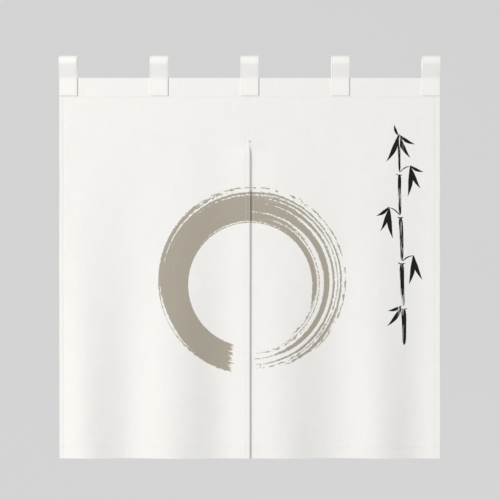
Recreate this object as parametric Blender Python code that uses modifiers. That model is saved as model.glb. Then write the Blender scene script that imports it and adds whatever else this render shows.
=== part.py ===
# Noren curtain: a hemmed cotton panel with a slit up its middle, hung by five folded tabs.
# Metres, +Z up, +X along the rod, and the front faces -Y. The origin is the middle of the line
# along which the tabs' loops bear on the top of the rod.

import math
from collections import namedtuple

import bmesh
import bpy

# The cloth
CLOTH_WIDTH = 0.850
CLOTH_DROP = 0.850
CLOTH_THICKNESS = 0.0015
HEM_THICKNESS = 0.0022
SIDE_HEM = 0.012
TOP_HEM = 0.046
BOTTOM_HEM = 0.025
HEM_STEP = 0.0015  # over which a hem's extra thickness falls off

# The slit, open from its top down through the bottom hem
SLIT_START = 0.143  # below the top edge
SLIT_GAP = 0.0022
SLIT_HEM = 0.010

# The tabs
TAB_COUNT = 5
TAB_WIDTH = 0.040
TAB_RISE = 0.050  # from the cloth's top edge to the top of the loop
TAB_LAP = 0.040  # sewn to the cloth's front and back
TAB_THICKNESS = 0.0018
ROD_RADIUS = 0.014  # the rod that a loop is shaped for
SEAT = 0.0003  # between a tab and the cloth that it is sewn to

# The mesh
COLUMN_WIDTH = 0.026
ROW_HEIGHT = 0.032
ARC_STEPS = 18
TAB_COLUMNS = 2

TOP_EDGE = TAB_THICKNESS - TAB_RISE
HEM_EDGE = TOP_EDGE - CLOTH_DROP

# The soft folds of the hanging cloth. Each is a ridge (depth above 0, towards the front) or a
# trough: where its crest meets the hem, its half width, its depth at the hem, how far below the
# top edge it starts, and how far its crest leans sideways from there down to the hem.
Fold = namedtuple("Fold", "centre half_width depth start lean")
FOLDS = [
    Fold(centre=-0.372, half_width=0.062, depth=0.0065, start=0.06, lean=0.022),
    Fold(centre=-0.276, half_width=0.055, depth=-0.0060, start=0.09, lean=-0.016),
    Fold(centre=-0.168, half_width=0.070, depth=0.0080, start=0.05, lean=-0.030),
    Fold(centre=-0.066, half_width=0.050, depth=-0.0050, start=0.16, lean=0.010),
    Fold(centre=0.078, half_width=0.058, depth=0.0060, start=0.15, lean=0.018),
    Fold(centre=0.187, half_width=0.066, depth=-0.0075, start=0.07, lean=-0.024),
    Fold(centre=0.290, half_width=0.054, depth=0.0070, start=0.06, lean=0.026),
    Fold(centre=0.384, half_width=0.050, depth=-0.0045, start=0.11, lean=-0.012),
]

# How far an edge of the slit or a side of the cloth swings out of line: which edge, on which side
# of the slit (-1 left, 1 right), where below the top edge it starts and where it is fully out,
# how far, and how far into the panel it reaches
Swing = namedtuple("Swing", "edge side start full depth reach")
SWINGS = [
    Swing(edge=0.0, side=-1, start=SLIT_START, full=0.20, depth=0.0027, reach=0.040),
    Swing(edge=0.0, side=1, start=SLIT_START, full=0.19, depth=-0.0017, reach=0.050),
    Swing(edge=-CLOTH_WIDTH / 2, side=-1, start=0.10, full=CLOTH_DROP, depth=-0.0060, reach=0.040),
    Swing(edge=CLOTH_WIDTH / 2, side=1, start=0.08, full=CLOTH_DROP, depth=0.0050, reach=0.045),
]

WHITE_COTTON = (0.83, 0.82, 0.79, 1.0)


def clear_scene():
    for old in list(bpy.data.objects):
        bpy.data.objects.remove(old, do_unlink=True)


def new_collection(name):
    collection = bpy.data.collections.new(name)
    bpy.context.scene.collection.children.link(collection)
    return collection


def cotton(name):
    material = bpy.data.materials.new(name)
    material.use_nodes = True
    shader = material.node_tree.nodes["Principled BSDF"]
    shader.inputs["Base Color"].default_value = WHITE_COTTON
    shader.inputs["Roughness"].default_value = 0.9
    shader.inputs["Metallic"].default_value = 0.0
    return material


def add_object(bm, name, collection):
    mesh = bpy.data.meshes.new(name)
    bm.to_mesh(mesh)
    bm.free()
    mesh.materials.append(cotton(name + "_cotton"))
    mesh.shade_smooth()
    mesh.set_sharp_from_angle(angle=math.radians(40))
    obj = bpy.data.objects.new(name, mesh)
    collection.objects.link(obj)
    return obj


def ease(share):
    """0 up to a share of 0, 1 from a share of 1, and smooth between them."""
    share = min(max(share, 0.0), 1.0)
    return share * share * (3 - 2 * share)


def fold_depth(across, below, side):
    """How far the cloth stands towards the front at a place on it: across from its middle line,
    below its top edge, and on which side of the slit."""
    depth = 0.0
    for fold in FOLDS:
        grown = ease((below - fold.start) / (CLOTH_DROP - fold.start))
        crest = fold.centre - fold.lean * (CLOTH_DROP - below) / CLOTH_DROP
        offset = (across - crest) / fold.half_width
        depth += fold.depth * grown * math.exp(-offset * offset)
    for swing in SWINGS:
        if swing.side == side:
            grown = ease((below - swing.start) / (swing.full - swing.start))
            offset = (across - swing.edge) / swing.reach
            depth += swing.depth * grown * math.exp(-offset * offset)
    return depth


def cut_line(bm, place, normal):
    everything = bm.verts[:] + bm.edges[:] + bm.faces[:]
    bmesh.ops.bisect_plane(bm, geom=everything, dist=1e-6, plane_co=place, plane_no=normal)


def flat_cloth():
    """The cloth before it hangs: a grid in the plane of the rod, with a line on each edge of
    each hem, and the slit cut out."""
    bm = bmesh.new()
    bmesh.ops.create_grid(
        bm,
        x_segments=round(CLOTH_WIDTH / COLUMN_WIDTH),
        y_segments=round(CLOTH_DROP / ROW_HEIGHT),
        size=0.5,
    )
    for vert in bm.verts:
        across, up = vert.co.x * CLOTH_WIDTH, vert.co.y * CLOTH_DROP
        vert.co = (across, 0, TOP_EDGE - CLOTH_DROP / 2 + up)

    side_line = CLOTH_WIDTH / 2 - SIDE_HEM
    slit_line = SLIT_GAP / 2 + SLIT_HEM
    columns = [side_line, side_line - HEM_STEP, slit_line, slit_line + HEM_STEP, SLIT_GAP / 2]
    for column in columns:
        cut_line(bm, (column, 0, 0), (1, 0, 0))
        cut_line(bm, (-column, 0, 0), (1, 0, 0))
    rows = [
        TOP_EDGE - TOP_HEM,
        TOP_EDGE - TOP_HEM - HEM_STEP,
        TOP_EDGE - SLIT_START,
        TOP_EDGE - SLIT_START + SLIT_HEM,
        TOP_EDGE - SLIT_START + SLIT_HEM + HEM_STEP,
        HEM_EDGE + BOTTOM_HEM,
        HEM_EDGE + BOTTOM_HEM + HEM_STEP,
    ]
    for row in rows:
        cut_line(bm, (0, 0, row), (0, 0, 1))

    in_slit = []
    for face in bm.faces:
        centre = face.calc_center_median()
        if abs(centre.x) < SLIT_GAP / 2 and centre.z < TOP_EDGE - SLIT_START:
            in_slit.append(face)
    bmesh.ops.delete(bm, geom=in_slit, context="FACES")
    return bm


def on_hem(across, below):
    slack = 1e-5
    at_side = abs(across) > CLOTH_WIDTH / 2 - SIDE_HEM - slack
    at_top = below < TOP_HEM + slack
    at_bottom = below > CLOTH_DROP - BOTTOM_HEM - slack
    beside_slit = abs(across) < SLIT_GAP / 2 + SLIT_HEM + slack
    at_slit = beside_slit and below > SLIT_START - SLIT_HEM - slack
    return at_side or at_top or at_bottom or at_slit


def make_cloth(collection):
    bm = flat_cloth()
    bmesh.ops.recalc_face_normals(bm, faces=bm.faces)
    hem_points = []
    bm.verts.index_update()
    for vert in bm.verts:
        across, below = vert.co.x, TOP_EDGE - vert.co.z
        if on_hem(across, below):
            hem_points.append(vert.index)
        vert.co.y = -fold_depth(across, below, 1 if across > 0 else -1)
    cloth = add_object(bm, "cloth", collection)

    hems = cloth.vertex_groups.new(name="hems")
    hems.add(hem_points, 1.0, "REPLACE")
    sheet = cloth.modifiers.new("sheet", "SOLIDIFY")
    sheet.thickness = HEM_THICKNESS
    sheet.offset = 0
    sheet.vertex_group = hems.name
    sheet.thickness_vertex_group = CLOTH_THICKNESS / HEM_THICKNESS
    return cloth


def loop_path():
    """The middle of a tab's thickness, from the foot of its front leg over the rod to the foot
    of its back leg, as points in the plane across the rod."""
    radius = ROD_RADIUS + TAB_THICKNESS / 2
    centre = -ROD_RADIUS
    leg = HEM_THICKNESS / 2 + SEAT + TAB_THICKNESS / 2
    # A leg leaves the round of the loop along the tangent that meets the cloth's top edge.
    drop = centre - TOP_EDGE
    slant = math.atan2(leg, drop)
    tangent = math.asin(radius / math.hypot(leg, drop)) - slant
    front = [(-leg, TOP_EDGE - TAB_LAP), (-leg, TOP_EDGE - TAB_LAP / 2), (-leg, TOP_EDGE)]
    arc = []
    for step in range(ARC_STEPS + 1):
        turn = math.pi + tangent - (math.pi + 2 * tangent) * step / ARC_STEPS
        arc.append((radius * math.cos(turn), centre + radius * math.sin(turn)))
    back = [(-y, z) for y, z in reversed(front)]
    return front + arc + back


def make_tab(number, collection):
    spread = CLOTH_WIDTH - TAB_WIDTH
    left = -CLOTH_WIDTH / 2 + spread * (number - 1) / (TAB_COUNT - 1)
    bm = bmesh.new()
    points = [bm.verts.new((left, y, z)) for y, z in loop_path()]
    strip = [bm.edges.new(pair) for pair in zip(points, points[1:])]
    for _ in range(TAB_COLUMNS):
        grown = bmesh.ops.extrude_edge_only(bm, edges=strip)["geom"]
        moved = [part for part in grown if isinstance(part, bmesh.types.BMVert)]
        strip = [part for part in grown if isinstance(part, bmesh.types.BMEdge)]
        strip = [edge for edge in strip if all(vert in moved for vert in edge.verts)]
        bmesh.ops.translate(bm, verts=moved, vec=(TAB_WIDTH / TAB_COLUMNS, 0, 0))
    bmesh.ops.recalc_face_normals(bm, faces=bm.faces)
    tab = add_object(bm, f"tab_{number}", collection)

    folded = tab.modifiers.new("folded_strip", "SOLIDIFY")
    folded.thickness = TAB_THICKNESS
    folded.offset = 0
    folded.use_even_offset = True
    return tab


def main():
    clear_scene()
    noren = new_collection("noren_curtain")
    make_cloth(noren)
    for number in range(1, TAB_COUNT + 1):
        make_tab(number, noren)


main()
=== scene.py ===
import math
from functools import partial

import bmesh
import bpy
from mathutils import Matrix, Vector, noise


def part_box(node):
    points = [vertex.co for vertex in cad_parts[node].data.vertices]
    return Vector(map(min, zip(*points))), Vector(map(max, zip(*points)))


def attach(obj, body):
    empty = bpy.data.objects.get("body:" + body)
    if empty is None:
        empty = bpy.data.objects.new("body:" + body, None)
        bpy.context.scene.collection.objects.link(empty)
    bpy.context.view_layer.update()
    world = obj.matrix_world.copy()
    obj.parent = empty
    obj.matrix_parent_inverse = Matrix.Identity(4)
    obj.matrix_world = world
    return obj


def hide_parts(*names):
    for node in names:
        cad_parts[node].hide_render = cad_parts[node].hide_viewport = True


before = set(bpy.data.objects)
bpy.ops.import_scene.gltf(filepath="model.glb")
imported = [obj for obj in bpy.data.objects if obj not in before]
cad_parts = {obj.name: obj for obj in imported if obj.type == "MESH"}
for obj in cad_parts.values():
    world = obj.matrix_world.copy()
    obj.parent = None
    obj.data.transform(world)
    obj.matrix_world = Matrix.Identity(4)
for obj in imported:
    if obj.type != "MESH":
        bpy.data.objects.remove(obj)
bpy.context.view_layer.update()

# Looks of the noren: the hemmed cotton panel and its two printed motifs, the five hanging
# tabs, and the sewing. +X runs along the rod, +Z is up, and the printed front faces -Y.

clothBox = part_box("cloth")

cloth = {
    "width": 0.850,
    "drop": clothBox[1].z - clothBox[0].z,
    "top": clothBox[1].z,
    "thickness": 0.0015,
    "hemThickness": 0.0022,
    "hemStep": 0.0012,       # over which a hem's extra layers fall off
    "sideHem": 0.012,
    "topHem": 0.046,
    "bottomHem": 0.025,
    "slitStart": 0.143,      # below the top edge
    "slitGap": 0.0008,
    "slitHem": 0.010,
    "seamInset": 0.0020,     # from a hem's inner edge out to its stitching
    "seamEnd": 0.003,        # how far short of an edge the stitching stops
    "seamWidth": 0.0012,
    "seamPinch": 0.00028,    # how far the stitching pulls the cloth in
    "pinchReach": 0.00072,
    "pinchedShare": 0.72,    # what the stitching leaves of a hem's extra thickness
    "heldFlat": 0.042,       # below the top edge, by the tabs that are sewn on
    "freeReach": 0.05,       # over which the cloth then gets free to move
    "cells": (164, 170),     # across and down
    "edgeRound": 0.0004,
}
halfWidth = cloth["width"] / 2
slitStart = cloth["slitStart"]
drop = cloth["drop"]

# Soft folds, towards the front where the depth is above 0: where a crest meets the hem, its half
# width, its depth there, how far below the top edge it starts, and its lean on the way down.
folds = [
    {"crest": -0.372, "halfWidth": 0.062, "depth": 0.0065, "start": 0.06, "lean": 0.022},
    {"crest": -0.276, "halfWidth": 0.055, "depth": -0.0060, "start": 0.09, "lean": -0.016},
    {"crest": -0.168, "halfWidth": 0.070, "depth": 0.0080, "start": 0.05, "lean": -0.030},
    {"crest": -0.066, "halfWidth": 0.050, "depth": -0.0050, "start": 0.16, "lean": 0.010},
    {"crest": 0.078, "halfWidth": 0.058, "depth": 0.0060, "start": 0.15, "lean": 0.018},
    {"crest": 0.187, "halfWidth": 0.066, "depth": -0.0075, "start": 0.07, "lean": -0.024},
    {"crest": 0.290, "halfWidth": 0.054, "depth": 0.0070, "start": 0.06, "lean": 0.026},
    {"crest": 0.384, "halfWidth": 0.050, "depth": -0.0045, "start": 0.11, "lean": -0.012},
]

# How far an edge of the slit or a side of the cloth swings out of line on the way down, on which
# side of the slit: where it starts, where it is fully out, and how far into the panel it reaches
swings = [
    {"edge": 0.0, "side": -1, "start": slitStart, "full": 0.172, "depth": 0.0027, "reach": 0.040},
    {"edge": 0.0, "side": 1, "start": slitStart, "full": 0.168, "depth": -0.0017, "reach": 0.050},
    {"edge": -halfWidth, "side": -1, "start": 0.10, "full": drop, "depth": -0.0060, "reach": 0.040},
    {"edge": halfWidth, "side": 1, "start": 0.08, "full": drop, "depth": 0.0050, "reach": 0.045},
]

# Fine unevenness: how high it stands and how far apart its bumps are, across and down
relief = [
    {"height": 0.00055, "across": 0.075, "down": 0.120, "seed": 0.3},
    {"height": 0.00018, "across": 0.026, "down": 0.036, "seed": 5.1},
]

# The puckers along the stitching
pucker = {
    "height": 0.00022,
    "reach": 0.008,
    "limit": 0.025,          # past it a seam is left out of the sum
    "spacing": 0.0065,
    "overrun": 0.004,        # past a seam's ends
    "start": 0.041,          # below the top edge
    "growth": 0.006,
    "seedStep": 7.7,
}

# How far the sides and the bottom hem stray from straight
wobble = {
    "size": 0.0006,
    "reach": 0.02,
    "sideSpacing": 0.09,
    "sideSeed": 3.1,
    "hemSpacing": 0.11,
    "hemSeed": 9.2,
}


def seamRows():
    # each row of hem stitching: which way it runs, where it lies, and where it starts and ends
    inset, end = cloth["seamInset"], cloth["seamEnd"]
    side = halfWidth - cloth["sideHem"] + inset
    slit = cloth["slitGap"] / 2 + cloth["slitHem"] - inset
    slitHead = slitStart - cloth["slitHem"] + inset
    bottom = drop - cloth["bottomHem"] + inset
    topRow = cloth["topHem"] - inset
    rows = [
        {"upright": False, "at": topRow, "start": end - halfWidth, "end": halfWidth - end},
        {"upright": False, "at": slitHead, "start": -slit, "end": slit},
    ]
    for sign in (-1, 1):
        rows.append({"upright": True, "at": sign * side, "start": end, "end": drop - end})
        rows.append({"upright": True, "at": sign * slit, "start": slitHead, "end": drop - end})
        across = sorted((sign * (cloth["slitGap"] / 2 + end), sign * (halfWidth - end)))
        rows.append({"upright": False, "at": bottom, "start": across[0], "end": across[1]})
    return rows


seams = seamRows()


def ease(share):
    share = min(max(share, 0.0), 1.0)
    return share * share * (3 - 2 * share)


def foldDepth(across, below, side):
    depth = 0.0
    for fold in folds:
        grown = ease((below - fold["start"]) / (drop - fold["start"]))
        crest = fold["crest"] - fold["lean"] * (drop - below) / drop
        offset = (across - crest) / fold["halfWidth"]
        depth += fold["depth"] * grown * math.exp(-offset * offset)
    for swing in swings:
        if swing["side"] == side:
            grown = ease((below - swing["start"]) / (swing["full"] - swing["start"]))
            offset = (across - swing["edge"]) / swing["reach"]
            depth += swing["depth"] * grown * math.exp(-offset * offset)
    return depth


def fineDepth(across, below):
    free = ease((below - cloth["heldFlat"]) / cloth["freeReach"])
    depth = 0.0
    for bump in relief:
        where = Vector((across / bump["across"], bump["seed"], below / bump["down"]))
        depth += free * bump["height"] * noise.noise(where)
    for number, seam in enumerate(seams):
        along, away = (below, across) if seam["upright"] else (across, below)
        away = abs(away - seam["at"])
        overrun = max(seam["start"] - along, along - seam["end"])
        if away > pucker["limit"] or overrun >= pucker["overrun"]:
            continue
        wave = noise.noise(Vector((along / pucker["spacing"], number * pucker["seedStep"], 0.5)))
        grown = ease((below - pucker["start"]) / pucker["growth"])
        depth += grown * pucker["height"] * wave * math.exp(-((away / pucker["reach"]) ** 2))
        depth -= cloth["seamPinch"] * math.exp(-((away / cloth["pinchReach"]) ** 2))
    return depth


def clothPlace(across, below, side=0):
    # a place on the cloth's front face
    side = side or (1 if across > 0 else -1)
    depth = foldDepth(across, below, side) + fineDepth(across, below)
    nearSide = math.exp(-(((halfWidth - abs(across)) / wobble["reach"]) ** 2))
    nearHem = math.exp(-(((drop - below) / wobble["reach"]) ** 2))
    sideWave = noise.noise(Vector((side * wobble["sideSeed"], 0, below / wobble["sideSpacing"])))
    hemWave = noise.noise(Vector((across / wobble["hemSpacing"], wobble["hemSeed"], 0)))
    sideways = wobble["size"] * nearSide * sideWave
    upwards = wobble["size"] * nearHem * hemWave
    free = ease((below - cloth["topHem"]) / cloth["freeReach"])
    return Vector((
        across + sideways * free,
        -depth - cloth["hemThickness"] / 2,
        cloth["top"] - below + upwards,
    ))


def inSlit(across, below):
    return abs(across) < cloth["slitGap"] / 2 and below > slitStart


def hemWeight(across, below):
    # 1 on a hem, 0 on a single layer, and between them where stitching pinches a hem
    slack, onSeam = 1e-5, 1e-4
    atSide = abs(across) > halfWidth - cloth["sideHem"] - slack
    atTop = below < cloth["topHem"] + slack
    atBottom = below > drop - cloth["bottomHem"] - slack
    besideSlit = abs(across) < cloth["slitGap"] / 2 + cloth["slitHem"] + slack
    atSlit = besideSlit and below > slitStart - cloth["slitHem"] - slack
    if not (atSide or atTop or atBottom or atSlit):
        return 0.0
    for seam in seams:
        along, away = (below, across) if seam["upright"] else (across, below)
        if abs(away - seam["at"]) < onSeam and seam["start"] <= along <= seam["end"]:
            return cloth["pinchedShare"]
    return 1.0


def cutAcross(bm, place, normal):
    everything = bm.verts[:] + bm.edges[:] + bm.faces[:]
    bmesh.ops.bisect_plane(bm, geom=everything, dist=1e-6, plane_co=place, plane_no=normal)


def cutLine(bm, across=None, below=None):
    # a line of points right along the cloth, so that an edge of a hem or a seam can be formed
    if across is not None:
        cutAcross(bm, (across, 0, 0), (1, 0, 0))
    else:
        cutAcross(bm, (0, 0, cloth["top"] - below), (0, 0, 1))


def placeOnGrid(bm, width, height, centre):
    # a unit grid made upright, its middle at centre
    for vert in bm.verts:
        vert.co = centre + Vector((vert.co.x * width, 0, vert.co.y * height))


def finishMesh(bm, name, materials):
    mesh = bpy.data.meshes.new(name)
    bm.to_mesh(mesh)
    bm.free()
    for material in materials:
        mesh.materials.append(material)
    mesh.shade_smooth()
    piece = bpy.data.objects.new(name, mesh)
    bpy.context.scene.collection.objects.link(piece)
    return piece


def addBevel(piece, width, segments, angle=50):
    bevel = piece.modifiers.new("foldedEdges", "BEVEL")
    bevel.width = width
    bevel.segments = segments
    bevel.limit_method = "ANGLE"
    bevel.angle_limit = math.radians(angle)
    bevel.harden_normals = True


# Nodes

def plug(tree, socket, value):
    if isinstance(value, bpy.types.NodeSocket):
        tree.links.new(value, socket)
    else:
        socket.default_value = value


def maths(tree, operation, *values):
    node = tree.nodes.new("ShaderNodeMath")
    node.operation = operation
    for socket, value in zip(node.inputs, values):
        plug(tree, socket, value)
    return node.outputs[0]


def joined(tree, *values):
    node = tree.nodes.new("ShaderNodeCombineXYZ")
    for socket, value in zip(node.inputs, values):
        plug(tree, socket, value)
    return node.outputs[0]


def parts(tree, vector):
    node = tree.nodes.new("ShaderNodeSeparateXYZ")
    plug(tree, node.inputs[0], vector)
    return node.outputs[0], node.outputs[1]


def cloudy(tree, vector, detail=2.0, roughness=0.5):
    node = tree.nodes.new("ShaderNodeTexNoise")
    plug(tree, node.inputs["Vector"], vector)
    node.inputs["Scale"].default_value = 1.0
    node.inputs["Detail"].default_value = detail
    node.inputs["Roughness"].default_value = roughness
    return node.outputs[0]


def stretched(tree, x, y, xRate, yRate, seed):
    # where to read noise that has so many waves for each unit of x and of y
    return joined(tree, maths(tree, "MULTIPLY", x, xRate), maths(tree, "MULTIPLY", y, yRate), seed)


def ramped(tree, value, low, high):
    # 0 up to low, 1 from high, and smooth between them
    node = tree.nodes.new("ShaderNodeMapRange")
    node.interpolation_type = "SMOOTHSTEP"
    for socket, number in zip(node.inputs, (value, low, high, 0.0, 1.0)):
        plug(tree, socket, number)
    return node.outputs[0]


def scaled(tree, colour, factor):
    node = tree.nodes.new("ShaderNodeVectorMath")
    node.operation = "SCALE"
    node.inputs[0].default_value = colour
    plug(tree, node.inputs["Scale"], factor)
    return node.outputs[0]


def newGroup(name, inputs, outputs):
    tree = bpy.data.node_groups.new(name, "ShaderNodeTree")
    for label, kind in inputs.items():
        tree.interface.new_socket(name=label, in_out="INPUT", socket_type=kind)
    for label in outputs:
        tree.interface.new_socket(name=label, in_out="OUTPUT", socket_type="NodeSocketFloat")
    start = tree.nodes.new("NodeGroupInput")
    end = tree.nodes.new("NodeGroupOutput")
    return tree, start, end, partial(maths, tree)


def useGroup(tree, group, **values):
    node = tree.nodes.new("ShaderNodeGroup")
    node.node_tree = group
    for label, value in values.items():
        plug(tree, node.inputs[label], value)
    return node


def newMaterial(name, colour, roughness):
    material = bpy.data.materials.new(name)
    material.use_nodes = True
    shader = material.node_tree.nodes["Principled BSDF"]
    shader.inputs["Base Color"].default_value = (*colour, 1)
    shader.inputs["Roughness"].default_value = roughness
    return material, shader


# The weave

weave = {
    "pitch": 0.00072,        # one thread to the next
    "threadFlatness": 0.35,  # the lower, the flatter a thread's back
    "slubLength": 0.045,
    "slubGrit": 0.6,
    "slubShade": 0.085,
    "slubHeight": 1.1,
    "blotches": (22.0, 16.0),     # to the metre, across and down
    "blotchShade": 0.030,
    "detail": 3.0,           # of the slubs and the blotches
    "gapBelow": 0.6,         # the height of the threads under which a gap shows
    # how much darker the gaps between the threads are painted: a painted shade
    "gapShade": 0.10,
    "bumpStrength": 0.49,
    "bumpDistance": 0.00020,
    "cotton": (0.845, 0.838, 0.815),
    "roughness": 0.88,
    "sheen": 0.05,
    "sheenRoughness": 0.6,
    "specular": 0.10,
    "inkSmooths": 0.16,      # how far ink takes the roughness and the relief down
    "inkFlattens": 0.35,
    "showsThrough": 0.14,    # how much of a print is seen on the back
}


def makeWeave():
    # Threads is how far the single threads stand out, in relief and in the painted shade of the gaps
    # between them, 1 on the open cloth
    inputs = {"Place": "NodeSocketVector", "Threads": "NodeSocketFloat"}
    tree, start, end, calc = newGroup("plainWeave", inputs, ["Shade", "Height"])
    u, v = parts(tree, start.outputs["Place"])
    perThread = math.pi / weave["pitch"]
    warpWave = calc("SINE", calc("MULTIPLY", u, perThread))
    weftWave = calc("SINE", calc("MULTIPLY", v, perThread))
    warp = calc("ABSOLUTE", warpWave)
    weft = calc("ABSOLUTE", weftWave)
    warpOver = calc("GREATER_THAN", calc("MULTIPLY", warpWave, weftWave), 0.0)
    warpTop = calc("MULTIPLY", warp, calc("POWER", weft, weave["threadFlatness"]))
    weftTop = calc("MULTIPLY", weft, calc("POWER", warp, weave["threadFlatness"]))
    difference = calc("SUBTRACT", warpTop, weftTop)
    height = calc("MULTIPLY_ADD", warpOver, difference, weftTop)

    acrossThreads, alongThreads = 0.5 / weave["pitch"], 1 / weave["slubLength"]
    detail, grit = weave["detail"], weave["slubGrit"]
    warpSlub = cloudy(tree, stretched(tree, u, v, acrossThreads, alongThreads, 2.0), detail, grit)
    weftSlub = cloudy(tree, stretched(tree, u, v, alongThreads, acrossThreads, 8.0), detail, grit)
    slub = calc("SUBTRACT", calc("ADD", warpSlub, weftSlub), 1.0)
    blotch = cloudy(tree, stretched(tree, u, v, *weave["blotches"], 4.0), detail)
    blotch = calc("SUBTRACT", blotch, 0.5)
    toneAndPaintedShade = calc("MULTIPLY_ADD", slub, weave["slubShade"], 1.0)
    toneAndPaintedShade = calc("MULTIPLY_ADD", blotch, weave["blotchShade"], toneAndPaintedShade)
    # painted shade: the cotton's colour is made darker in the gaps where the threads lie low
    gap = calc("SUBTRACT", weave["gapBelow"], height)
    gap = calc("MULTIPLY", gap, start.outputs["Threads"])
    toneAndPaintedShade = calc("MULTIPLY_ADD", gap, -weave["gapShade"], toneAndPaintedShade)
    raised = calc("MULTIPLY", slub, weave["slubHeight"])
    plug(tree, end.inputs["Shade"], toneAndPaintedShade)
    plug(tree, end.inputs["Height"], calc("SUBTRACT", raised, gap))
    return tree


# The brushed ring

ring = {
    "middle": (0.0030, -0.4570),
    "inner": ((0.0015, -0.4620), 0.1385),     # centre and radius
    "outer": ((0.0062, -0.4522), 0.2100),
    "startAngle": 191.0,     # clockwise from the top
    "sweep": 349.0,
    "ink": (0.384, 0.350, 0.288),
    "innerRough": 0.0032,    # how far the grain shifts each edge of the stroke
    "outerRough": 0.0085,
    "edgeSharpness": 1600.0,
    "lineSharpness": 45.0,   # it makes one unit of the ink's field about 1.6 mm
    "softness": 0.35,
    "fineShake": 2.0,        # how far the noises shift the lines in the stroke
    "grainShake": 6.0,
    "splitShake": 0.75,
    "drift": 0.05,
    "bodyEnd": 0.655,        # where along the stroke its full part breaks up, and how unevenly
    "bodyEndSpread": 0.55,
    "bodyFade": 0.035,
    "rimAcross": (0.885, 0.930),  # where the outer rim of the full part breaks into dashes
    "rimAlong": (0.24, 0.50),
    "rimFull": 3.6,
    "rimLoss": 4.6,
    "rimDashes": 10.0,
    "bundleEndShake": 0.03,
    "bundleEndLoss": 20.0,
    "rowDashes": 11.0,
    "rowGrain": 3.0,
    "rowEnds": 60.0,
    "scratchLevel": 0.235,   # the higher, the fewer scratches
    "scratchSharpness": 30.0,
    "startAt": 0.016,        # the ragged start
    "startSpread": 0.060,
    "startSlant": -0.010,
    "startSharpness": 800.0,
}

# The noises over the stroke: their waves across it and along it, their seed and their detail
noises = {
    "broad": {"across": 9.0, "along": 2.2, "seed": 1.0, "detail": 2.0},
    "fine": {"across": 34.0, "along": 11.0, "seed": 2.0, "detail": 2.0},
    "grain": {"across": 24.0, "along": 150.0, "seed": 3.0, "detail": 4.0},
    "dashes": {"across": 19.0, "along": 88.0, "seed": 4.0, "detail": 3.0},
    "start": {"across": 20.0, "along": 0.0, "seed": 5.0, "detail": 3.0},
    "scratches": {"across": 70.0, "along": 9.0, "seed": 6.0, "detail": 2.0},
    "drift": {"across": 2.5, "along": 7.0, "seed": 7.0, "detail": 2.0},
}

# Bundles of bristles that keep their ink past the top: place across the stroke from its inner
# side, half width, where along the stroke it runs dry, how gradually it thins out, and how much
# it skips
bundles = [
    {"at": 0.075, "half": 0.084, "dry": 0.800, "taper": 0.05, "skips": 0.0},
    {"at": 0.135, "half": 0.009, "dry": 0.905, "taper": 0.04, "skips": 1.5},
    {"at": 0.208, "half": 0.014, "dry": 0.950, "taper": 0.16, "skips": 1.0},
    {"at": 0.428, "half": 0.084, "dry": 0.955, "taper": 0.10, "skips": 0.0},
    {"at": 0.445, "half": 0.013, "dry": 0.995, "taper": 0.05, "skips": 0.0},
    {"at": 0.650, "half": 0.058, "dry": 0.970, "taper": 0.12, "skips": 0.0},
    {"at": 0.750, "half": 0.016, "dry": 0.930, "taper": 0.10, "skips": 4.0},
    {"at": 0.860, "half": 0.062, "dry": 0.935, "taper": 0.08, "skips": 3.0},
]

# Pale lines that split the stroke: place across it, half width, and from where to where along it
splits = [
    {"at": 0.935, "half": 0.036, "start": 0.085, "end": 0.225},
    {"at": 0.868, "half": 0.022, "start": 0.270, "end": 0.560},
    {"at": 0.905, "half": 0.046, "start": 0.390, "end": 0.840},
    {"at": 0.765, "half": 0.012, "start": 0.400, "end": 0.560},
    {"at": 0.040, "half": 0.014, "start": 0.350, "end": 0.570},
    {"at": 0.296, "half": 0.042, "start": 0.490, "end": 1.120},
    {"at": 0.172, "half": 0.018, "start": 0.590, "end": 1.050},
    {"at": 0.556, "half": 0.048, "start": 0.530, "end": 1.120},
    {"at": 0.696, "half": 0.036, "start": 0.520, "end": 0.850},
    {"at": 0.795, "half": 0.026, "start": 0.500, "end": 0.860},
]

# Rows of broken dashes, in the same terms
dashRows = [
    {"at": 0.975, "half": 0.006, "start": 0.420, "end": 0.870},
    {"at": 0.780, "half": 0.008, "start": 0.900, "end": 0.985},
    {"at": 0.660, "half": 0.008, "start": 0.940, "end": 0.994},
    {"at": 0.260, "half": 0.006, "start": 0.860, "end": 0.985},
    {"at": 0.110, "half": 0.004, "start": 0.800, "end": 0.890},
]


def distanceTo(tree, place, centre):
    node = tree.nodes.new("ShaderNodeVectorMath")
    node.operation = "DISTANCE"
    plug(tree, node.inputs[0], place)
    node.inputs[1].default_value = (*centre, 0.0)
    return node.outputs["Value"]


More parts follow.
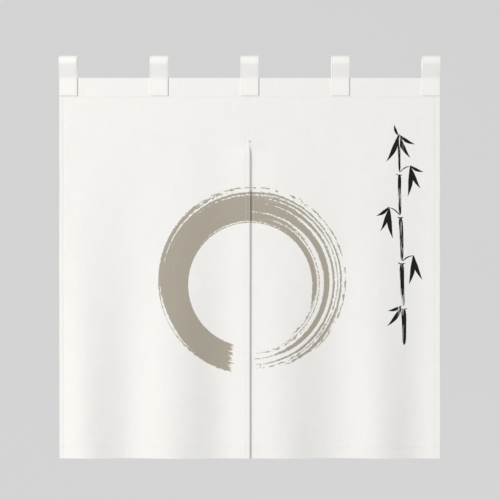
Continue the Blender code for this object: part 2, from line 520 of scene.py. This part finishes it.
def makeRing():
    tree, start, end, calc = newGroup("brushedRing", {"Place": "NodeSocketVector"}, ["Ink"])
    place = start.outputs["Place"]
    x, y = parts(tree, place)
    x = calc("SUBTRACT", x, ring["middle"][0])
    y = calc("SUBTRACT", y, ring["middle"][1])
    angle = calc("ARCTAN2", x, y)                       # 0 at the top, clockwise
    turn = calc("MULTIPLY_ADD", angle, 1 / math.tau, 2 - ring["startAngle"] / 360)
    along = calc("MULTIPLY", calc("FRACT", turn), 360 / ring["sweep"])

    fromInner = calc("SUBTRACT", distanceTo(tree, place, ring["inner"][0]), ring["inner"][1])
    fromOuter = calc("SUBTRACT", ring["outer"][1], distanceTo(tree, place, ring["outer"][0]))
    across = calc("DIVIDE", fromInner, calc("ADD", fromInner, fromOuter))

    def streaks(kind):
        # one of those noises, around 0
        one = noises[kind]
        where = stretched(tree, across, along, one["across"], one["along"], one["seed"])
        return calc("SUBTRACT", cloudy(tree, where, one["detail"]), 0.5)

    def insideOf(line, half):
        # how far inside a line across the stroke
        near = calc("ABSOLUTE", calc("SUBTRACT", across, line["at"]))
        return calc("MULTIPLY", calc("SUBTRACT", half, near), ring["lineSharpness"])

    broad = streaks("broad")
    grain = streaks("grain")
    dashes = streaks("dashes")
    drift = calc("MULTIPLY", streaks("drift"), ring["drift"])
    shaky = calc("MULTIPLY", grain, ring["grainShake"])
    shaky = calc("MULTIPLY_ADD", streaks("fine"), ring["fineShake"], shaky)

    # the full part of the stroke, which breaks up past the top
    bodyEnd = calc("MULTIPLY_ADD", broad, ring["bodyEndSpread"], ring["bodyEnd"])
    field = calc("DIVIDE", calc("SUBTRACT", bodyEnd, along), ring["bodyFade"])
    field = calc("ADD", field, shaky)
    atRim = ramped(tree, across, *ring["rimAcross"])
    atRim = calc("MULTIPLY", atRim, ramped(tree, along, *ring["rimAlong"]))
    broken = calc("MULTIPLY_ADD", atRim, -ring["rimLoss"], ring["rimFull"])
    field = calc("MINIMUM", field, calc("MULTIPLY_ADD", dashes, ring["rimDashes"], broken))

    across = calc("ADD", across, drift)      # from here on the lines wander a little
    for bundle in bundles:
        left = calc("MULTIPLY", calc("SUBTRACT", bundle["dry"], along), 1 / bundle["taper"])
        full = calc("SQRT", calc("MINIMUM", calc("MAXIMUM", left, 0.0), 1.0))
        inside = calc("ADD", insideOf(bundle, calc("MULTIPLY", full, bundle["half"])), shaky)
        inside = calc("MULTIPLY_ADD", dashes, bundle["skips"], inside)
        ending = calc("MULTIPLY_ADD", grain, ring["bundleEndShake"], along)
        ended = calc("GREATER_THAN", ending, bundle["dry"])
        field = calc("MAXIMUM", field, calc("MULTIPLY_ADD", ended, -ring["bundleEndLoss"], inside))

    for split in splits:
        reach = (split["end"] - split["start"]) / 2
        share = calc("MULTIPLY", calc("SUBTRACT", along, split["start"] + reach), 1 / reach)
        half = calc("MULTIPLY", calc("SUBTRACT", 1.0, calc("MULTIPLY", share, share)), split["half"])
        pale = calc("ADD", insideOf(split, half), calc("MULTIPLY", shaky, ring["splitShake"]))
        field = calc("MINIMUM", field, calc("MULTIPLY", pale, -1.0))

    for row in dashRows:
        inside = calc("MULTIPLY_ADD", dashes, ring["rowDashes"], insideOf(row, row["half"]))
        inside = calc("MULTIPLY_ADD", grain, ring["rowGrain"], inside)
        begun = calc("MULTIPLY", calc("SUBTRACT", along, row["start"]), ring["rowEnds"])
        left = calc("MULTIPLY", calc("SUBTRACT", row["end"], along), ring["rowEnds"])
        field = calc("MAXIMUM", field, calc("MINIMUM", inside, calc("MINIMUM", begun, left)))

    # hair-fine scratches in the full part
    scratch = calc("ADD", streaks("scratches"), ring["scratchLevel"])
    field = calc("MINIMUM", field, calc("MULTIPLY", scratch, ring["scratchSharpness"]))

    # the edges of the stroke, and the ragged start
    for inward, rough in ((fromInner, ring["innerRough"]), (fromOuter, ring["outerRough"])):
        edge = calc("MULTIPLY_ADD", grain, rough, inward)
        field = calc("MINIMUM", field, calc("MULTIPLY", edge, ring["edgeSharpness"]))
    startEdge = calc("MULTIPLY_ADD", streaks("start"), ring["startSpread"], ring["startAt"])
    startEdge = calc("MULTIPLY_ADD", across, ring["startSlant"], startEdge)
    started = calc("MULTIPLY", calc("SUBTRACT", along, startEdge), ring["startSharpness"])
    field = calc("MINIMUM", field, started)
    plug(tree, end.inputs["Ink"], ramped(tree, field, -ring["softness"], ring["softness"]))
    return tree


# The brushed bamboo, beside the ring

bamboo = {
    "origin": (0.3380, -0.1050),     # the top of its place
    "ink": (0.0075, 0.0070, 0.0070),
    "ragged": 0.0009,
    "fibres": (900.0, 260.0),     # waves to the metre, across and down
    "bristles": (760.0, 17.0),
    "dryFrom": 0.58,         # the lower, the more pale streaks the bristles leave
    "dryDepth": 0.08,
    "dryReach": 0.0080,      # the streaks run down the stem and not across the leaves beside it
    "dryFade": 0.003,
    "softness": 0.00012,
    "butt": 1.2,             # a stroke's width at its start, what it loses on the way, and the least
    "taper": 0.42,
    "thinnest": 0.5,
}

# Brush strokes, in millimetres from that origin: where one starts, across and down, its turn from
# straight down towards the right in degrees, its length, width and bow, and how blunt its ends are
strokes = [
    {"x": -6, "y": 22, "turn": 2, "length": 84, "width": 5.8, "bow": 0.010, "blunt": 9},
    {"x": -3, "y": 110, "turn": 1, "length": 92, "width": 7.2, "bow": -0.008, "blunt": 10},
    {"x": -1, "y": 206, "turn": 2, "length": 98, "width": 8.2, "bow": 0.010, "blunt": 11},
    {"x": 2, "y": 308, "turn": 2, "length": 98, "width": 9.0, "bow": -0.006, "blunt": 11},
    {"x": 6, "y": 410, "turn": 1, "length": 82, "width": 9.8, "bow": 0.008, "blunt": 10},
    # the joints between the stem's lengths
    {"x": -11, "y": 109, "turn": 84, "length": 15, "width": 3.0, "bow": -0.18, "blunt": 3},
    {"x": -9, "y": 205, "turn": 92, "length": 17, "width": 3.2, "bow": -0.18, "blunt": 3},
    {"x": -7, "y": 307, "turn": 86, "length": 18, "width": 3.4, "bow": -0.18, "blunt": 3},
    {"x": -4, "y": 409, "turn": 90, "length": 19, "width": 3.4, "bow": -0.18, "blunt": 3},
    # twigs
    {"x": -2, "y": 106, "turn": 122, "length": 27, "width": 2.6, "bow": 0.10, "blunt": 4},
    {"x": -2, "y": 203, "turn": -128, "length": 30, "width": 2.6, "bow": -0.10, "blunt": 4},
    {"x": 3, "y": 305, "turn": 118, "length": 28, "width": 2.8, "bow": 0.10, "blunt": 4},
    # leaves at the tip
    {"x": -6, "y": 22, "turn": -24, "length": 66, "width": 11.0, "bow": 0.07, "blunt": 1.7},
    {"x": -5, "y": 20, "turn": 26, "length": 60, "width": 10.0, "bow": -0.07, "blunt": 1.7},
    {"x": -5, "y": 20, "turn": 58, "length": 44, "width": 8.0, "bow": -0.09, "blunt": 1.7},
    {"x": -6, "y": 24, "turn": -160, "length": 26, "width": 6.0, "bow": 0.06, "blunt": 1.8},
    # leaves on the first twig
    {"x": 20, "y": 92, "turn": -4, "length": 68, "width": 10.5, "bow": 0.06, "blunt": 1.7},
    {"x": 21, "y": 91, "turn": 24, "length": 56, "width": 9.5, "bow": -0.06, "blunt": 1.7},
    {"x": 20, "y": 90, "turn": 64, "length": 34, "width": 7.0, "bow": -0.08, "blunt": 1.7},
    # leaves on the second twig
    {"x": -25, "y": 184, "turn": 6, "length": 70, "width": 11.0, "bow": -0.06, "blunt": 1.7},
    {"x": -26, "y": 183, "turn": -20, "length": 58, "width": 9.5, "bow": 0.06, "blunt": 1.7},
    {"x": -26, "y": 182, "turn": -54, "length": 36, "width": 7.5, "bow": 0.09, "blunt": 1.7},
    # leaves on the third twig
    {"x": 27, "y": 291, "turn": -8, "length": 66, "width": 10.5, "bow": 0.06, "blunt": 1.7},
    {"x": 28, "y": 290, "turn": 20, "length": 60, "width": 9.5, "bow": -0.06, "blunt": 1.7},
    # leaves low on the stem
    {"x": 2, "y": 404, "turn": -36, "length": 56, "width": 9.5, "bow": 0.07, "blunt": 1.7},
    {"x": 2, "y": 403, "turn": -70, "length": 34, "width": 7.0, "bow": 0.10, "blunt": 1.7},
]


def makeStroke():
    # how far inside a brush stroke a place is, in metres; Local runs 0 to 1 along the stroke
    inputs = {"Local": "NodeSocketVector"}
    for label in ("Length", "Width", "Bow", "Blunt"):
        inputs[label] = "NodeSocketFloat"
    tree, start, end, calc = newGroup("brushStroke", inputs, ["Inside"])
    along, off = parts(tree, start.outputs["Local"])
    fromMiddle = calc("ABSOLUTE", calc("MULTIPLY_ADD", along, 2.0, -1.0))
    profile = calc("SUBTRACT", 1.0, calc("POWER", fromMiddle, start.outputs["Blunt"]))
    tapered = calc("MULTIPLY_ADD", along, -bamboo["taper"], bamboo["butt"])
    profile = calc("MULTIPLY", profile, calc("MAXIMUM", tapered, bamboo["thinnest"]))
    bowed = calc("MULTIPLY", calc("MULTIPLY", along, calc("SUBTRACT", 1.0, along)), 4.0)
    off = calc("MULTIPLY_ADD", bowed, calc("MULTIPLY", start.outputs["Bow"], -1.0), off)
    off = calc("MULTIPLY", calc("ABSOLUTE", off), start.outputs["Length"])
    inside = calc("MULTIPLY_ADD", profile, calc("MULTIPLY", start.outputs["Width"], 0.5),
                  calc("MULTIPLY", off, -1.0))
    plug(tree, end.inputs["Inside"], inside)
    return tree


def makeBamboo():
    tree, start, end, calc = newGroup("brushedBamboo", {"Place": "NodeSocketVector"}, ["Ink"])
    strokeGroup = makeStroke()
    place = start.outputs["Place"]
    inside = -1.0
    for stroke in strokes:
        turned = tree.nodes.new("ShaderNodeMapping")
        turned.vector_type = "TEXTURE"
        plug(tree, turned.inputs["Vector"], place)
        length = stroke["length"] / 1000
        turned.inputs["Location"].default_value = (
            bamboo["origin"][0] + stroke["x"] / 1000, bamboo["origin"][1] - stroke["y"] / 1000, 0)
        turned.inputs["Rotation"].default_value = (0, 0, math.radians(stroke["turn"] - 90))
        turned.inputs["Scale"].default_value = (length, length, 1)
        made = useGroup(tree, strokeGroup, Local=turned.outputs[0], Length=length,
                        Width=stroke["width"] / 1000, Bow=stroke["bow"], Blunt=float(stroke["blunt"]))
        inside = calc("MAXIMUM", made.outputs["Inside"], inside)
    x, y = parts(tree, place)
    fibres = cloudy(tree, stretched(tree, x, y, *bamboo["fibres"], 1.0), 3.0)
    ragged = calc("MULTIPLY", calc("SUBTRACT", fibres, 0.5), bamboo["ragged"] * 2)
    inside = calc("ADD", inside, ragged)
    bristles = cloudy(tree, stretched(tree, x, y, *bamboo["bristles"], 5.0), 2.0)
    fromStem = calc("ABSOLUTE", calc("SUBTRACT", x, bamboo["origin"][0]))
    offStem = ramped(tree, fromStem, bamboo["dryReach"], bamboo["dryReach"] + bamboo["dryFade"])
    bristles = calc("SUBTRACT", bristles, offStem)
    dry = calc("MAXIMUM", calc("SUBTRACT", bristles, bamboo["dryFrom"]), 0.0)
    inside = calc("MULTIPLY_ADD", dry, -bamboo["dryDepth"], inside)
    plug(tree, end.inputs["Ink"], ramped(tree, inside, -bamboo["softness"], bamboo["softness"]))
    return tree


weaveGroup = makeWeave()
ringGroup = makeRing()
bambooGroup = makeBamboo()


def startCotton(name, threads):
    material, shader = newMaterial(name, weave["cotton"], weave["roughness"])
    shader.inputs["Sheen Weight"].default_value = weave["sheen"]
    shader.inputs["Sheen Roughness"].default_value = weave["sheenRoughness"]
    shader.inputs["Specular IOR Level"].default_value = weave["specular"]
    tree = material.node_tree
    flat = tree.nodes.new("ShaderNodeUVMap")
    flat.uv_map = "flatCloth"
    woven = useGroup(tree, weaveGroup, Place=flat.outputs[0], Threads=threads)
    return material, shader, flat.outputs[0], woven


def addRelief(tree, shader, height):
    bump = tree.nodes.new("ShaderNodeBump")
    bump.inputs["Strength"].default_value = weave["bumpStrength"]
    bump.inputs["Distance"].default_value = weave["bumpDistance"]
    plug(tree, bump.inputs["Height"], height)
    plug(tree, shader.inputs["Normal"], bump.outputs[0])


def makeTabCotton():
    # the same cotton in one shade: folded and pressed, it shows its weave in relief alone
    material, shader, _, woven = startCotton("tabCotton", tab["threads"])
    addRelief(material.node_tree, shader, woven.outputs["Height"])
    return material


def makeCotton(name, motif=None, ink=None, inkShare=1.0):
    # white cotton, and on a printed part the motif's ink, or its ghost on the back
    material, shader, place, woven = startCotton(name, 1.0)
    tree = material.node_tree
    # the cotton's colour: the random tone of its slubs and blotches, and the painted shade in the
    # gaps between threads
    colour = scaled(tree, weave["cotton"], woven.outputs["Shade"])
    height = woven.outputs["Height"]
    if motif:
        printed = useGroup(tree, motif, Place=place).outputs["Ink"]
        mix = tree.nodes.new("ShaderNodeMix")
        mix.data_type = "RGBA"
        plug(tree, mix.inputs[0], maths(tree, "MULTIPLY", printed, inkShare))
        plug(tree, mix.inputs[6], colour)
        plug(tree, mix.inputs[7], scaled(tree, ink, woven.outputs["Shade"]))
        colour = mix.outputs[2]
        smoothed, flattened = weave["inkSmooths"] * inkShare, weave["inkFlattens"] * inkShare
        rough = maths(tree, "MULTIPLY_ADD", printed, -smoothed, weave["roughness"])
        plug(tree, shader.inputs["Roughness"], rough)
        left = maths(tree, "MULTIPLY_ADD", printed, -flattened, 1.0)
        height = maths(tree, "MULTIPLY", height, left)
    plug(tree, shader.inputs["Base Color"], colour)
    addRelief(tree, shader, height)
    return material


# Where each motif is printed, as across and below, lowest and highest
printAreas = {
    "ring": ((-0.225, 0.230), (0.225, 0.685)),
    "bamboo": ((0.270, 0.405), (0.085, 0.625)),
}


def printedHere(across, below):
    for number, (acrossRange, belowRange) in enumerate(printAreas.values()):
        if acrossRange[0] < across < acrossRange[1] and belowRange[0] < below < belowRange[1]:
            return number + 1
    return 0


def makeCloth():
    top = cloth["top"]
    bm = bmesh.new()
    bmesh.ops.create_grid(bm, x_segments=cloth["cells"][0], y_segments=cloth["cells"][1], size=0.5)
    placeOnGrid(bm, cloth["width"], drop, Vector((0, 0, top - drop / 2)))

    gap, step = cloth["slitGap"] / 2, cloth["hemStep"]
    slitHem, sideHem = gap + cloth["slitHem"], halfWidth - cloth["sideHem"]
    slitHead, bottomHem = slitStart - cloth["slitHem"], drop - cloth["bottomHem"]
    columns = [gap, slitHem, slitHem + step, sideHem, sideHem - step]
    rows = [slitStart, slitHead, slitHead - step, bottomHem, bottomHem - step]
    rows += [cloth["topHem"], cloth["topHem"] + step]
    for seam in seams:
        lines = [seam["at"] + offset for offset in (-cloth["seamWidth"], 0, cloth["seamWidth"])]
        if not seam["upright"]:
            rows += lines
        elif seam["at"] > 0:
            columns += lines
    for column in columns:
        cutLine(bm, across=column)
        cutLine(bm, across=-column)
    for row in sorted(set(rows)):
        cutLine(bm, below=row)

    cut = []
    for face in bm.faces:
        centre = face.calc_center_median()
        if inSlit(centre.x, top - centre.z):
            cut.append(face)
        face.material_index = printedHere(centre.x, top - centre.z)
    bmesh.ops.delete(bm, geom=cut, context="FACES")

    flat = bm.loops.layers.uv.new("flatCloth")
    for face in bm.faces:
        for loop in face.loops:
            loop[flat].uv = (loop.vert.co.x, loop.vert.co.z - top)
    weights = []
    bm.verts.index_update()
    for vert in bm.verts:
        across, below = vert.co.x, top - vert.co.z
        weights.append(hemWeight(across, below))
        vert.co = clothPlace(across, below)
    bmesh.ops.recalc_face_normals(bm, faces=bm.faces)
    bm.faces.ensure_lookup_table()
    if bm.faces[0].normal.y > 0:
        bmesh.ops.reverse_faces(bm, faces=bm.faces)

    materials = []
    for side, share in (("Front", 1.0), ("Back", weave["showsThrough"])):
        materials.append(makeCotton(f"whiteCotton{side}"))
        materials.append(makeCotton(f"ringPrint{side}", ringGroup, ring["ink"], share))
        materials.append(makeCotton(f"bambooPrint{side}", bambooGroup, bamboo["ink"], share))
    piece = finishMesh(bm, "clothPanel", materials)

    hems = piece.vertex_groups.new(name="hems")
    for index, weight in enumerate(weights):
        if weight > 0:
            hems.add([index], weight, "REPLACE")
    layers = piece.modifiers.new("layers", "SOLIDIFY")
    layers.thickness = cloth["hemThickness"]
    layers.offset = -1
    layers.vertex_group = hems.name
    layers.thickness_vertex_group = cloth["thickness"] / cloth["hemThickness"]
    layers.material_offset = len(materials) // 2     # to those of the back
    addBevel(piece, cloth["edgeRound"], 2)
    return piece


# The tabs

tab = {
    "count": 5,
    "width": 0.040,
    "thickness": 0.0018,
    "lap": 0.040,            # sewn to the cloth's front and back
    "rodRadius": 0.014,
    "seat": 0.0003,
    "cells": (14, 72),
    "edgeRound": 0.0007,
    "seamInset": 0.0030,     # from its sides to the stitching
    "seamEnd": 0.0025,       # how far short of its feet the stitching stops
    "seamCorner": 0.001,     # how far short of the side rows a crosswise row stops
    "crossSeam": 0.0045,     # from a foot, and from the cloth's top edge, to a crosswise row
    "seamPinch": 0.00018,
    "pinchReach": 0.0009,
    "freeReach": 0.02,       # over which the loop gets free to move, from where it is sewn on
    "uneven": 0.00035,
    "unevenAcross": 0.022,
    "unevenAlong": 0.03,
    "unevenSeed": 4.3,
    "lean": 0.0006,
    "leanSeed": 2.7,
    "cutFrom": (0.171, 0.093),    # from one tab's place in the weave to the next one's
    "threads": 0.25,         # a tab is folded and pressed, so its threads stand out less
}


def tabRoute():
    # the stretches of a tab's middle layer, from its front foot over the rod to its back foot:
    # two legs, two slants and the round of the loop between them
    radius = tab["rodRadius"] + tab["thickness"] / 2
    leg = cloth["hemThickness"] / 2 + tab["seat"] + tab["thickness"] / 2
    fall = -tab["rodRadius"] - cloth["top"]
    reach = math.hypot(leg, fall)
    tangent = math.asin(radius / reach) - math.atan2(leg, fall)
    slant = math.sqrt(reach * reach - radius * radius)
    return radius, leg, tangent, slant, radius * (math.pi + 2 * tangent)


tabRadius, tabLeg, tabTangent, tabSlant, tabRound = tabRoute()
tabLength = 2 * (tab["lap"] + tabSlant) + tabRound


def tabPoint(along):
    # a place on the route and the way out from it, both as depth and height
    back = along > tabLength / 2
    if back:
        along = tabLength - along
    sign = 1 if back else -1
    foot = cloth["top"] - tab["lap"]
    if along < tab["lap"]:
        place, outward = (tabLeg, foot + along), (1.0, 0.0)
    elif along < tab["lap"] + tabSlant:
        run = along - tab["lap"]
        place = (tabLeg + run * math.sin(tabTangent), cloth["top"] + run * math.cos(tabTangent))
        outward = (math.cos(tabTangent), -math.sin(tabTangent))
    else:
        angle = (along - tab["lap"] - tabSlant) / tabRadius - tabTangent
        outward = (math.cos(angle), math.sin(angle))
        place = (tabRadius * outward[0], -tab["rodRadius"] + tabRadius * outward[1])
    return Vector((0, sign * place[0], place[1])), Vector((0, sign * outward[0], outward[1]))


def tabPlace(number, across, along, outset=0.0):
    place, outward = tabPoint(along)
    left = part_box(f"tab_{number}")[0].x
    free = ease((along - tab["lap"]) / tab["freeReach"])
    free *= ease((tabLength - tab["lap"] - along) / tab["freeReach"])
    where = (across / tab["unevenAcross"], along / tab["unevenAlong"], number * tab["unevenSeed"])
    wave = noise.noise(Vector(where))
    fromSeam = min(across, tab["width"] - across) - tab["seamInset"]
    pinch = tab["seamPinch"] * math.exp(-((fromSeam / tab["pinchReach"]) ** 2))
    lean = tab["lean"] * free * noise.noise(Vector((number * tab["leanSeed"], 0.4, 0)))
    offset = outset + tab["uneven"] * free * wave - pinch
    return place + outward * offset + Vector((left + across + lean, 0, 0)), outward


def makeTab(number, material):
    width = tab["width"]
    bm = bmesh.new()
    bmesh.ops.create_grid(bm, x_segments=tab["cells"][0], y_segments=tab["cells"][1], size=0.5)
    placeOnGrid(bm, width, tabLength, Vector((width / 2, 0, tabLength / 2)))
    for line in (tab["seamInset"], width - tab["seamInset"]):
        for offset in (-tab["pinchReach"], 0.0, tab["pinchReach"]):
            cutLine(bm, across=line + offset)
    flat = bm.loops.layers.uv.new("flatCloth")
    rightward, upward = tab["cutFrom"]
    for face in bm.faces:
        for loop in face.loops:
            place = loop.vert.co
            loop[flat].uv = (place.x + number * rightward, place.z + number * upward)
    for vert in bm.verts:
        vert.co = tabPlace(number, vert.co.x, vert.co.z)[0]
    bmesh.ops.recalc_face_normals(bm, faces=bm.faces)
    piece = finishMesh(bm, f"hangingTab{number}", [material])
    layers = piece.modifiers.new("layers", "SOLIDIFY")
    layers.thickness = tab["thickness"]
    layers.offset = 0
    layers.use_even_offset = True
    addBevel(piece, tab["edgeRound"], 3)
    return piece


# The sewing

thread = {
    "radius": 0.00024,
    "stitch": 0.0027,
    "pitch": 0.0033,
    "sides": 5,
    "bend": 0.3,             # from a stitch's middle to its bends, as a share of its length
    "endSize": 0.65,
    "endSink": 0.9,
    "proud": 0.00008,
    "colour": (0.760, 0.750, 0.722),
    "roughness": 0.55,
    "sheen": 0.1,
    "tackCount": 11,
    "tackPitch": 0.00055,
    "tackLength": 0.0062,
    "tackAbove": 0.0045,     # the slit's start
    "tackLift": 0.00025,
    "tackSlant": 0.06,
}


def makeThreadMaterial():
    material, shader = newMaterial("sewingThread", thread["colour"], thread["roughness"])
    shader.inputs["Sheen Weight"].default_value = thread["sheen"]
    return material


def makeStitchShape(length):
    # one stitch along Z, humped towards +Y, its ends drawn in
    bm = bmesh.new()
    bmesh.ops.create_cone(bm, cap_ends=True, segments=thread["sides"], radius1=thread["radius"],
                          radius2=thread["radius"], depth=length)
    bend = thread["bend"] * length
    for height in (-bend, bend):
        cutAcross(bm, (0, 0, height), (0, 0, 1))
    for vert in bm.verts:
        if abs(vert.co.z) > (bend + length / 2) / 2:
            vert.co.x *= thread["endSize"]
            vert.co.y = vert.co.y * thread["endSize"] - thread["endSink"] * thread["radius"]
    shape = bpy.data.meshes.new("stitchShape")
    bm.to_mesh(shape)
    bm.free()
    return shape


def sewStitch(bm, shape, place, onward, outward):
    onward = onward.normalized()
    sideways = outward.cross(onward).normalized()
    outward = onward.cross(sideways)
    turn = Matrix((sideways, outward, onward)).transposed().to_4x4()
    before = len(bm.verts)
    bm.from_mesh(shape)
    bm.verts.ensure_lookup_table()
    bmesh.ops.transform(bm, matrix=Matrix.Translation(place) @ turn, verts=bm.verts[before:])


def sewRow(bm, shape, start, end, placeAt):
    # placeAt gives a place and the way out of the cloth for a distance along the row
    count = max(1, round((end - start) / thread["pitch"]))
    step = 0.001
    for number in range(count):
        middle = start + (end - start) * (number + 0.5) / count
        place, outward = placeAt(middle)
        onward = placeAt(middle + step)[0] - placeAt(middle - step)[0]
        sewStitch(bm, shape, place, onward, outward)


def clothOutward(across, below, side):
    step = 0.0015
    rightward = clothPlace(across + step, below, side) - clothPlace(across - step, below, side)
    upward = clothPlace(across, below - step, side) - clothPlace(across, below + step, side)
    return rightward.cross(upward).normalized()      # towards the front


def seamPlace(seam, along, back):
    across, below = (seam["at"], along) if seam["upright"] else (along, seam["at"])
    side = 1 if across > 0 else -1
    outward = clothOutward(across, below, side)
    place = clothPlace(across, below, side)
    if not back:
        return place + outward * thread["proud"], outward
    layers = cloth["thickness"]
    layers += cloth["pinchedShare"] * (cloth["hemThickness"] - cloth["thickness"])
    return place - outward * (layers + thread["proud"]), -outward


def makeHemStitches(material, back):
    bm = bmesh.new()
    shape = makeStitchShape(thread["stitch"])
    for seam in seams:
        sewRow(bm, shape, seam["start"], seam["end"], lambda along: seamPlace(seam, along, back))
    tack = makeStitchShape(thread["tackLength"])
    for number in range(thread["tackCount"]):
        below = slitStart - thread["tackAbove"] + thread["tackPitch"] * number
        place, outward = seamPlace({"upright": False, "at": below}, 0.0, back)
        onward = Vector((1, 0, thread["tackSlant"] * (-1) ** number))
        sewStitch(bm, tack, place + outward * thread["tackLift"], onward, outward)
    return finishMesh(bm, "hemStitches" + ("Back" if back else "Front"), [material])


def makeTabStitches(number, material):
    bm = bmesh.new()
    shape = makeStitchShape(thread["stitch"])
    outset = tab["thickness"] / 2 + thread["proud"]
    inset, end, corner = tab["seamInset"], tab["seamEnd"], tab["seamCorner"]
    for across in (inset, tab["width"] - inset):
        sewRow(bm, shape, end, tabLength - end,
               lambda along: tabPlace(number, across, along, outset))
    for row in (tab["crossSeam"], tab["lap"] - tab["crossSeam"]):
        for along in (row, tabLength - row):
            sewRow(bm, shape, inset + corner, tab["width"] - inset - corner,
                   lambda across: tabPlace(number, across, along, outset))
    return finishMesh(bm, f"tabStitches{number}", [material])


# The stage

stage = {
    "floor": -2.60,
    "radius": 9.0,
    "cove": 2.0,
    "height": 7.0,
    "coveSteps": 12,
    "turnSteps": 96,
    "colour": (0.16, 0.16, 0.16),
    "roughness": 0.9,
    "glow": 0.50,            # most of its brightness, so that it stays even from every side
}


def makeStage():
    bm = bmesh.new()
    cove = stage["cove"]
    coveStart = stage["radius"] - cove
    profile = [(0.0, 0.0), (coveStart, 0.0)]
    for step in range(1, stage["coveSteps"] + 1):
        angle = math.radians(90) * step / stage["coveSteps"]
        profile.append((coveStart + cove * math.sin(angle), cove * (1 - math.cos(angle))))
    profile.append((stage["radius"], stage["height"]))
    points = [bm.verts.new((out, 0, stage["floor"] + up)) for out, up in profile]
    edges = [bm.edges.new(pair) for pair in zip(points, points[1:])]
    bmesh.ops.spin(bm, geom=points + edges, cent=(0, 0, 0), axis=(0, 0, 1), angle=math.tau,
                   steps=stage["turnSteps"], use_merge=True)
    bmesh.ops.remove_doubles(bm, verts=bm.verts, dist=1e-5)
    material, shader = newMaterial("palePaper", stage["colour"], stage["roughness"])
    shader.inputs["Emission Color"].default_value = (1, 1, 1, 1)
    shader.inputs["Emission Strength"].default_value = stage["glow"]
    backdrop = finishMesh(bm, "studioSweep", [material])
    backdrop.visible_diffuse = False     # the soft light comes from all round, through the sweep
    backdrop.visible_shadow = False


warmWhite = (1.0, 0.99, 0.97)
coolWhite = (0.97, 0.98, 1.0)
lights = {
    "keyLight": {"place": (-6.1, -4.7, 1.9), "size": 1.4, "power": 530, "colour": warmWhite},
    "fillLight": {"place": (4.2, -4.6, 0.2), "size": 3.0, "power": 50, "colour": coolWhite},
    "backLight": {"place": (6.1, 4.7, 1.9), "size": 1.4, "power": 530, "colour": warmWhite},
}
air = {"colour": (1, 1, 1), "strength": 0.49}


def makeLights():
    middle = Vector((0, 0, cloth["top"] - drop / 2))
    for name, light in lights.items():
        lamp = bpy.data.lights.new(name, "AREA")
        lamp.shape = "DISK"
        lamp.size = light["size"]
        lamp.energy = light["power"]
        lamp.color = light["colour"]
        holder = bpy.data.objects.new(name, lamp)
        holder.location = light["place"]
        holder.rotation_euler = (middle - holder.location).to_track_quat("-Z", "Y").to_euler()
        bpy.context.scene.collection.objects.link(holder)
    world = bpy.data.worlds.new("studioAir")
    world.use_nodes = True
    background = world.node_tree.nodes["Background"]
    background.inputs["Color"].default_value = (*air["colour"], 1)
    background.inputs["Strength"].default_value = air["strength"]
    bpy.context.scene.world = world
    bpy.context.scene.view_settings.view_transform = "Standard"


camera = {
    "lens": 135.0,
    "sensor": 36.0,
    "frameHeight": 1.1172,   # metres of the curtain's plane from the bottom of the frame to its top
    "across": 0.0010,
    "height": -0.4326,
}


def makeCamera():
    eye = bpy.data.cameras.new("photoView")
    eye.lens = camera["lens"]
    eye.sensor_width = camera["sensor"]
    away = camera["frameHeight"] * camera["lens"] / camera["sensor"]
    holder = bpy.data.objects.new("photoView", eye)
    holder.location = (camera["across"], -away, camera["height"])
    holder.rotation_euler = (math.radians(90), 0, 0)
    bpy.context.scene.collection.objects.link(holder)
    bpy.context.scene.camera = holder


makeCamera()
makeLights()
makeStage()
print("stage, lights and camera are up")

clothPanel = makeCloth()
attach(clothPanel, "root")
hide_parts("cloth")
print("the cloth hangs, with", len(clothPanel.data.polygons), "faces before its back")

threadMaterial = makeThreadMaterial()
tabMaterial = makeTabCotton()
for back in (False, True):
    row = makeHemStitches(threadMaterial, back)
    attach(row, "root")
print("the hems are sewn")

for number in range(1, tab["count"] + 1):
    piece = makeTab(number, tabMaterial)
    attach(piece, "root")
    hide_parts(f"tab_{number}")
    stitches = makeTabStitches(number, threadMaterial)
    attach(stitches, "root")
print("the tabs are on")
